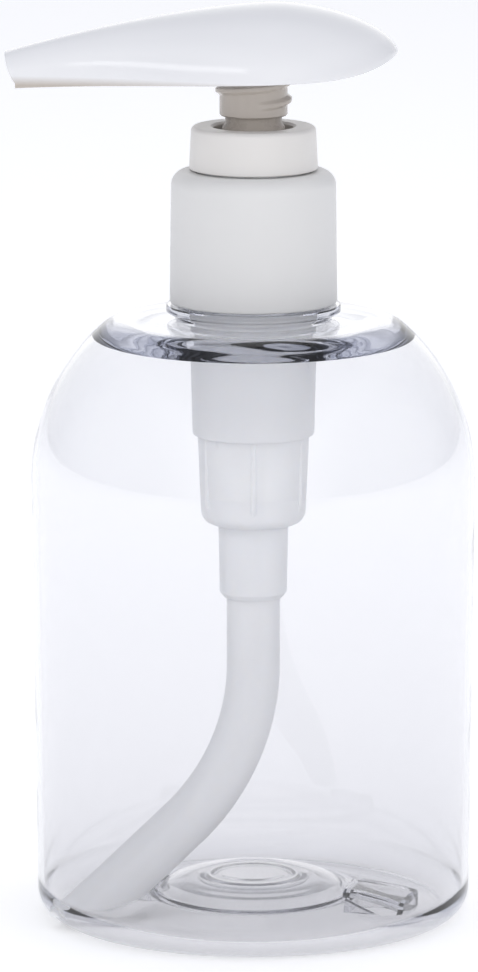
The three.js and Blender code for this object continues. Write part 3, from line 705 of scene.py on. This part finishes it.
def strut(start, end, radius):
    """A round rod between two points, as a tool for the nozzle's channel."""
    rod = turned("tool", [(0, 0), (radius, 0), (radius, 1), (0, 1)], 48)
    start, end = Vector(start), Vector(end)
    along = end - start
    turn = along.to_track_quat("Z", "Y").to_matrix()
    for vertex in rod.data.vertices:
        x, y, z = vertex.co / MM
        vertex.co = (start + turn @ Vector((x, y, z * along.length))) * MM
    return rod


def nozzle_cut():
    """Everything beyond the nozzle's slanted, slightly hollow mouth."""
    lower_lip = (TIP_LOW_X, 140.8)
    bend = (TIP_LOW_X - 1.4, 142.2)
    upper_lip = (TIP_X + 0.1, 146.5)
    steps = 12
    curve = []
    for i in range(steps + 1):
        t = i / steps
        shares = ((1 - t) ** 2, 2 * t * (1 - t), t * t)
        points = zip(shares, (lower_lip, bend, upper_lip))
        weighted = [(share * x, share * z) for share, (x, z) in points]
        curve.append((sum(x for x, _ in weighted), sum(z for _, z in weighted)))
    below, above, beyond = 130.0, 160.0, TIP_X - 10  # well clear of the head
    outline = [(TIP_LOW_X, below), *curve, (TIP_X + 0.1, above), (beyond, above), (beyond, below)]
    return lofted("tool", [[(x, y, z) for x, z in outline] for y in (-15.0, 15.0)])


def make_head():
    """One moulding: a hollow shell with two ribs, the nozzle's channel and the threaded boss."""
    head = head_form("pump_head_shell", TIP_X, HEEL_X - 0.01, 0, 0)
    combine(head, head_form("tool", TIP_X + 8, HEEL_X - HEAD_WALL, HEAD_WALL, 3), "DIFFERENCE")
    outlet, inlet = (TIP_X - 1, 0, CHANNEL_OUT_Z), (0, 0, CHANNEL_IN_Z)
    rib_half = 0.7
    spine = block((4, -rib_half, 143), (21, rib_half, 155))
    cross_rib = block((-rib_half, -12, 143.5), (rib_half, 12, 155.5))
    for rib in (spine, cross_rib):
        combine(rib, head_form("tool", TIP_X, HEEL_X - 0.01, 0.3, 0), "INTERSECT")
        combine(head, rib, "UNION")
    channel_wall = strut(outlet, inlet, 2.5)
    combine(channel_wall, head_form("tool", TIP_X, HEEL_X - 0.01, 0.3, 0), "INTERSECT")
    combine(head, channel_wall, "UNION")
    threaded_top = BOSS_Z + 8.0
    boss_profile = [(0, BOSS_Z), (BOSS_R - 0.2, BOSS_Z)]
    boss_profile += wall(BOSS_R, BOSS_Z + 0.2, threaded_top, 0.12)
    boss_profile += [(BOSS_R, BOSS_TOP), (0, BOSS_TOP)]
    boss_thread = thread(BOSS_R, BOSS_CREST, LOCK_PITCH, 1.5, BOSS_Z + 1.9, -math.pi / 2, 1.6, 0.6)
    combine(head, turned("tool", boss_profile, SMALL_SIDES, boss_thread), "UNION")
    socket_r = STEM_R + 0.1
    socket_top = STEM_TOP + GAP
    passage_profile = [(0, BOSS_Z - 1), (socket_r, BOSS_Z - 1), (socket_r, socket_top)]
    passage_profile += [(STEM_BORE, socket_top), (STEM_BORE, CHAMBER_TOP), (0, CHAMBER_TOP)]
    passage = turned("tool", passage_profile, SMALL_SIDES)
    combine(passage, strut(outlet, inlet, 1.7), "UNION")
    combine(head, passage, "DIFFERENCE")
    combine(head, nozzle_cut(), "DIFFERENCE")
    shade(head)
    return head


# ---- Materials ----


def new_material(name):
    """A node material and its Principled shader, with object coordinates ready to use."""
    material = bpy.data.materials.new(name)
    material.use_nodes = True
    tree = material.node_tree
    shader = tree.nodes["Principled BSDF"]
    coordinates = tree.nodes.new("ShaderNodeTexCoord").outputs["Object"]
    return material, tree, shader, coordinates


def noise(tree, coordinates, per_metre, detail=2.0):
    node = tree.nodes.new("ShaderNodeTexNoise")
    node.inputs["Scale"].default_value = per_metre
    node.inputs["Detail"].default_value = detail
    tree.links.new(coordinates, node.inputs["Vector"])
    return node.outputs["Fac"]


def spread(tree, value, low, high):
    """Maps noise, which stays near its middle, onto a range."""
    node = tree.nodes.new("ShaderNodeMapRange")
    node.inputs["From Min"].default_value = 0.3
    node.inputs["From Max"].default_value = 0.7
    node.inputs["To Min"].default_value = low
    node.inputs["To Max"].default_value = high
    tree.links.new(value, node.inputs["Value"])
    return node.outputs["Result"]


def gradient(tree, coordinates, low_z, high_z):
    """0 at one height and 1 at another, along the object's own Z."""
    split = tree.nodes.new("ShaderNodeSeparateXYZ")
    tree.links.new(coordinates, split.inputs["Vector"])
    node = tree.nodes.new("ShaderNodeMapRange")
    node.inputs["From Min"].default_value = low_z
    node.inputs["From Max"].default_value = high_z
    tree.links.new(split.outputs["Z"], node.inputs["Value"])
    return node.outputs["Result"]


def bump(tree, height, strength, depth_mm, below=None):
    node = tree.nodes.new("ShaderNodeBump")
    node.inputs["Strength"].default_value = strength
    node.inputs["Distance"].default_value = depth_mm * MM
    tree.links.new(height, node.inputs["Height"])
    if below:
        tree.links.new(below, node.inputs["Normal"])
    return node.outputs["Normal"]


def two_tone(tree, factor, colour_a, colour_b):
    node = tree.nodes.new("ShaderNodeMix")
    node.data_type = "RGBA"
    tree.links.new(factor, node.inputs["Factor"])
    node.inputs["A"].default_value = (*colour_a, 1)
    node.inputs["B"].default_value = (*colour_b, 1)
    return node.outputs["Result"]


def moulded(name, colour_a, colour_b, rough, grain_depth, flow_scale=55.0):
    """Injection-moulded plastic: flow marks in its colour and gloss, faint sink waves and fine grain."""
    material, tree, shader, coordinates = new_material(name)
    flow = noise(tree, coordinates, flow_scale, 3.0)
    tree.links.new(two_tone(tree, flow, colour_a, colour_b), shader.inputs["Base Color"])
    wear = noise(tree, coordinates, 900.0, 4.0)
    tree.links.new(spread(tree, wear, rough * 0.85, rough * 1.2), shader.inputs["Roughness"])
    waves = bump(tree, noise(tree, coordinates, 90.0), 0.25, 0.06)
    grain = bump(tree, noise(tree, coordinates, 5200.0, 3.0), 0.35, grain_depth, waves)
    tree.links.new(grain, shader.inputs["Normal"])
    shader.inputs["IOR"].default_value = 1.49
    return material, tree, shader


def gloss_white():
    """The head: cool white outside, with painted shade down its boss: darker and warmer below the rim, as
    shade under the head.
    """
    tones = (0.80, 0.80, 0.815), (0.765, 0.768, 0.785)
    material, tree, shader = moulded("gloss_white_plastic", *tones, 0.17, 0.004)
    shell_tone = shader.inputs["Base Color"].links[0].from_socket
    coordinates = tree.nodes["Texture Coordinate"].outputs["Object"]
    # painted shade: below the rim the boss is coloured darker and warmer, standing in for shade under the
    # head
    boss_painted_shade = tree.nodes.new("ShaderNodeMix")
    boss_painted_shade.data_type = "RGBA"
    tree.links.new(gradient(tree, coordinates, 0.1405, 0.1420), boss_painted_shade.inputs["Factor"])
    boss_painted_shade.inputs["A"].default_value = (0.48, 0.43, 0.38, 1)
    tree.links.new(shell_tone, boss_painted_shade.inputs["B"])
    tree.links.new(boss_painted_shade.outputs["Result"], shader.inputs["Base Color"])
    shader.inputs["Coat Weight"].default_value = 0.25
    shader.inputs["Coat Roughness"].default_value = 0.08
    return material


def stem_plastic():
    """The stem: beige natural resin, coloured much darker than the head as painted shade under it."""
    # painted shade: natural resin tones darkened to stand in for shade under the head
    tones = (0.50, 0.445, 0.39), (0.47, 0.42, 0.365)
    material, _, _ = moulded("natural_plastic_painted_shade", *tones, 0.28, 0.006)
    return material


def satin_white():
    tones = (0.77, 0.765, 0.755), (0.735, 0.73, 0.72)
    material, _, shader = moulded("satin_white_plastic", *tones, 0.42, 0.012)
    shader.inputs["Subsurface Weight"].default_value = 0.15
    shader.inputs["Subsurface Radius"].default_value = (1.0, 1.0, 1.0)
    shader.inputs["Subsurface Scale"].default_value = 1.0 * MM
    return material


def warm_white():
    tones = (0.76, 0.74, 0.715), (0.73, 0.71, 0.685)
    material, _, shader = moulded("warm_white_plastic", *tones, 0.36, 0.010)
    shader.inputs["Subsurface Weight"].default_value = 0.15
    shader.inputs["Subsurface Radius"].default_value = (1.0, 0.95, 0.9)
    shader.inputs["Subsurface Scale"].default_value = 1.0 * MM
    return material


def milky():
    """Unpigmented polypropylene: light soaks well into it, and it looks bluish where it is thin."""
    material, _, shader = moulded("milky_plastic", (0.93, 0.935, 0.95), (0.89, 0.897, 0.915), 0.32, 0.008)
    shader.inputs["Subsurface Weight"].default_value = 0.25
    shader.inputs["Subsurface Radius"].default_value = (0.9, 1.0, 1.15)
    shader.inputs["Subsurface Scale"].default_value = 1.0 * MM
    return material


def clear_pet():
    """Blow-moulded PET: clear, bluish where it is thick, with long shallow ripples in its surface. Its
    colour is painted darker towards the base, as shade.
    """
    material, tree, shader, coordinates = new_material("clear_pet")
    # painted shade: the base colour greys towards the bottom, standing in for shade seen through the
    # bottle
    height = gradient(tree, coordinates, 0.004, 0.090)
    painted_base_shade = two_tone(tree, height, (0.865, 0.863, 0.875), (0.985, 0.985, 0.99))
    tree.links.new(painted_base_shade, shader.inputs["Base Color"])
    shader.inputs["Transmission Weight"].default_value = 1.0
    shader.inputs["IOR"].default_value = 1.57
    wear = noise(tree, coordinates, 700.0, 4.0)
    tree.links.new(spread(tree, wear, 0.0, 0.03), shader.inputs["Roughness"])
    ripples = bump(tree, noise(tree, coordinates, 110.0, 1.0), 0.3, 0.05)
    tree.links.new(ripples, shader.inputs["Normal"])
    through = tree.nodes.new("ShaderNodeBsdfTransparent")
    through.inputs["Color"].default_value = (0.99, 0.99, 0.995, 1)
    path = tree.nodes.new("ShaderNodeLightPath")
    mix = tree.nodes.new("ShaderNodeMixShader")
    tree.links.new(path.outputs["Is Shadow Ray"], mix.inputs["Fac"])
    tree.links.new(shader.outputs["BSDF"], mix.inputs[1])
    tree.links.new(through.outputs["BSDF"], mix.inputs[2])
    tree.links.new(mix.outputs["Shader"], tree.nodes["Material Output"].inputs["Surface"])
    inside = tree.nodes.new("ShaderNodeVolumeAbsorption")
    inside.inputs["Color"].default_value = (0.60, 0.62, 0.70, 1)
    inside.inputs["Density"].default_value = 45.0  # per metre: a thin wall hardly shows it
    tree.links.new(inside.outputs["Volume"], tree.nodes["Material Output"].inputs["Volume"])
    return material


def foam():
    material, tree, shader, coordinates = new_material("closed_cell_foam")
    cells = tree.nodes.new("ShaderNodeTexVoronoi")
    cells.inputs["Scale"].default_value = 3500.0
    tree.links.new(coordinates, cells.inputs["Vector"])
    tone = two_tone(tree, cells.outputs["Distance"], (0.84, 0.84, 0.82), (0.9, 0.9, 0.885))
    tree.links.new(tone, shader.inputs["Base Color"])
    tree.links.new(bump(tree, cells.outputs["Distance"], 0.6, 0.05), shader.inputs["Normal"])
    shader.inputs["Roughness"].default_value = 0.9
    return material


def elastomer():
    material, _, shader = moulded("soft_elastomer", (0.64, 0.63, 0.60), (0.58, 0.57, 0.545), 0.68, 0.015)
    shader.inputs["Sheen Weight"].default_value = 0.1
    return material


def spring_steel():
    """Drawn wire: fine marks and a slight change of gloss."""
    material, tree, shader, coordinates = new_material("drawn_spring_steel")
    flow = noise(tree, coordinates, 260.0, 3.0)
    tone = two_tone(tree, flow, (0.56, 0.57, 0.58), (0.48, 0.485, 0.495))
    wear = noise(tree, coordinates, 2600.0, 4.0)
    lines = noise(tree, coordinates, 4000.0, 2.0)
    tree.links.new(tone, shader.inputs["Base Color"])
    tree.links.new(spread(tree, wear, 0.2, 0.36), shader.inputs["Roughness"])
    tree.links.new(bump(tree, lines, 0.3, 0.01), shader.inputs["Normal"])
    shader.inputs["Metallic"].default_value = 1.0
    return material


def ball_glass():
    material, tree, shader, coordinates = new_material("valve_ball_glass")
    shader.inputs["Base Color"].default_value = (0.86, 0.95, 0.91, 1)
    shader.inputs["Transmission Weight"].default_value = 1.0
    shader.inputs["IOR"].default_value = 1.52
    wear = noise(tree, coordinates, 1800.0, 3.0)
    tree.links.new(spread(tree, wear, 0.01, 0.06), shader.inputs["Roughness"])
    return material


def floor_paper():
    """Pale paper on a light table, which gives it some glow of its own."""
    material, tree, shader, coordinates = new_material("studio_floor_paper")
    grain = noise(tree, coordinates, 900.0, 4.0)
    tone = two_tone(tree, grain, (0.90, 0.90, 0.905), (0.915, 0.915, 0.915))
    tree.links.new(tone, shader.inputs["Base Color"])
    shader.inputs["Roughness"].default_value = 0.9
    shader.inputs["Specular IOR Level"].default_value = 0.1
    shader.inputs["Emission Color"].default_value = (1.0, 1.0, 1.0, 1)
    shader.inputs["Emission Strength"].default_value = 0.36
    return material


# ---- Studio ----


def make_floor():
    sides = 96
    radius = 6000.0
    level = -0.02  # just under the bottle's standing ring
    verts = [(0, 0, level)]
    for k in range(sides):
        angle = TAU * k / sides
        verts.append((radius * math.cos(angle), radius * math.sin(angle), level))
    faces = [(0, k + 1, (k + 1) % sides + 1) for k in range(sides)]
    floor = make_object("studio_floor", verts, faces)
    floor.data.materials.append(floor_paper())


def soft_light(name, place, target, width, height, power, mirrored=False, only=()):
    lamp = bpy.data.lights.new(name, "AREA")
    lamp.shape = "RECTANGLE"
    lamp.size = width
    lamp.size_y = height
    lamp.energy = power
    holder = bpy.data.objects.new(name, lamp)
    holder.location = place
    direction = Vector(target) - Vector(place)
    holder.rotation_euler = direction.to_track_quat("-Z", "Y").to_euler()
    holder.visible_glossy = mirrored  # the large lamps aren't mirrored in the clear bottle
    holder.visible_transmission = False
    if only:
        receivers = bpy.data.collections.new(name + "_receivers")
        for piece in only:
            receivers.objects.link(piece)
        holder.light_linking.receiver_collection = receivers
    bpy.context.scene.collection.objects.link(holder)


def make_lights(head, inside_bottle):
    """Large soft lamps, a strip for the head alone, and a fill for what hangs in the bottle."""
    middle = (0, 0, 0.08)
    soft_light("key_softbox", (-0.9, -0.9, 1.3), middle, 0.9, 0.9, 5.7)
    soft_light("fill_softbox", (1.1, -0.6, 0.9), middle, 0.8, 1.0, 3.5)
    soft_light("top_softbox", (0.0, 0.25, 1.7), middle, 1.2, 0.8, 4.3)
    strip_place, strip_target = (-0.80, -1.05, 0.42), (0, 0, 0.145)
    soft_light("strip_softbox", strip_place, strip_target, 0.5, 0.2, 0.8, mirrored=True, only=[head])
    soft_light("pump_fill", (0.0, -1.0, 0.25), (0, 0, 0.08), 0.8, 0.5, 2.2, only=inside_bottle)


def make_world():
    """White in front and behind, as a sweep is, and blue-grey above and at the sides."""
    world = bpy.data.worlds.new("studio_room")
    bpy.context.scene.world = world
    world.use_nodes = True
    tree = world.node_tree
    coordinates = tree.nodes.new("ShaderNodeTexCoord").outputs["Generated"]
    split = tree.nodes.new("ShaderNodeSeparateXYZ")
    tree.links.new(coordinates, split.inputs["Vector"])
    sideways = tree.nodes.new("ShaderNodeMath")
    sideways.operation = "ABSOLUTE"
    tree.links.new(split.outputs["X"], sideways.inputs[0])
    away = tree.nodes.new("ShaderNodeMath")
    away.operation = "MAXIMUM"
    tree.links.new(sideways.outputs[0], away.inputs[0])
    tree.links.new(split.outputs["Z"], away.inputs[1])
    shades = tree.nodes.new("ShaderNodeValToRGB")
    tree.links.new(away.outputs[0], shades.inputs["Fac"])
    shades.color_ramp.elements[0].position = 0.12
    shades.color_ramp.elements[0].color = (1.0, 1.0, 1.0, 1)
    shades.color_ramp.elements[1].position = 0.78
    shades.color_ramp.elements[1].color = (0.31, 0.32, 0.36, 1)
    background = tree.nodes["Background"]
    tree.links.new(shades.outputs["Color"], background.inputs["Color"])
    background.inputs["Strength"].default_value = 1.3


def make_camera():
    data = bpy.data.cameras.new("camera")
    data.lens = 260.16
    data.sensor_width = 36
    data.clip_start = 0.05
    data.clip_end = 20
    camera = bpy.data.objects.new("camera", data)
    camera.location = (-0.0024, -1.150, 0.292)
    camera.rotation_euler = (math.radians(90 - 10.80), 0, 0)
    bpy.context.scene.collection.objects.link(camera)
    bpy.context.scene.camera = camera


# ---- Assembly ----


def dress(piece, node, body, material):
    """The piece stands for a CAD node, rides on its body and takes a material."""
    piece.data.materials.clear()
    piece.data.materials.append(material)
    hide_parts(node)
    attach(piece, body)
    return piece


def main():
    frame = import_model()
    pet, gloss, satin, warm, milk = clear_pet(), gloss_white(), satin_white(), warm_white(), milky()
    dress(make_bottle(), "bottle", "bottle", pet)
    dress(make_closure(), "closure", "closure", satin)
    dress(make_lock_ring(), "lock_ring", "pump_body", warm)
    dress(make_gasket(), "neck_gasket", "pump_body", foam())
    dress(make_stem_seal(), "stem_seal", "pump_body", elastomer())
    housing = dress(make_housing(), "pump_housing", "pump_body", milk)
    tube = dress(make_dip_tube(), "dip_tube", "pump_body", milk)
    dress(make_ball(), "inlet_ball", "inlet_valve", ball_glass())
    dress(make_stem(), "stem", "plunger", stem_plastic())
    dress(make_plug(), "stem_plug", "plunger", satin)
    head = dress(make_head(), "pump_head", "plunger", gloss)
    dress(make_piston(), "piston", "piston", milk)
    spring = dress(make_spring(), "return_spring", "spring", spring_steel())
    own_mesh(spring)
    retainer = frame["nodes"]["ball_retainer"]
    retainer.data.materials.clear()
    retainer.data.materials.append(milk)
    make_floor()
    make_lights(head, [housing, tube])
    make_world()
    make_camera()
    bpy.context.scene.view_settings.view_transform = "Standard"
    bpy.context.scene.cycles.max_bounces = 24
    bpy.context.scene.cycles.transmission_bounces = 24
    bpy.context.scene.cycles.glossy_bounces = 24  # light inside the thick clear wall reflects many times


main()
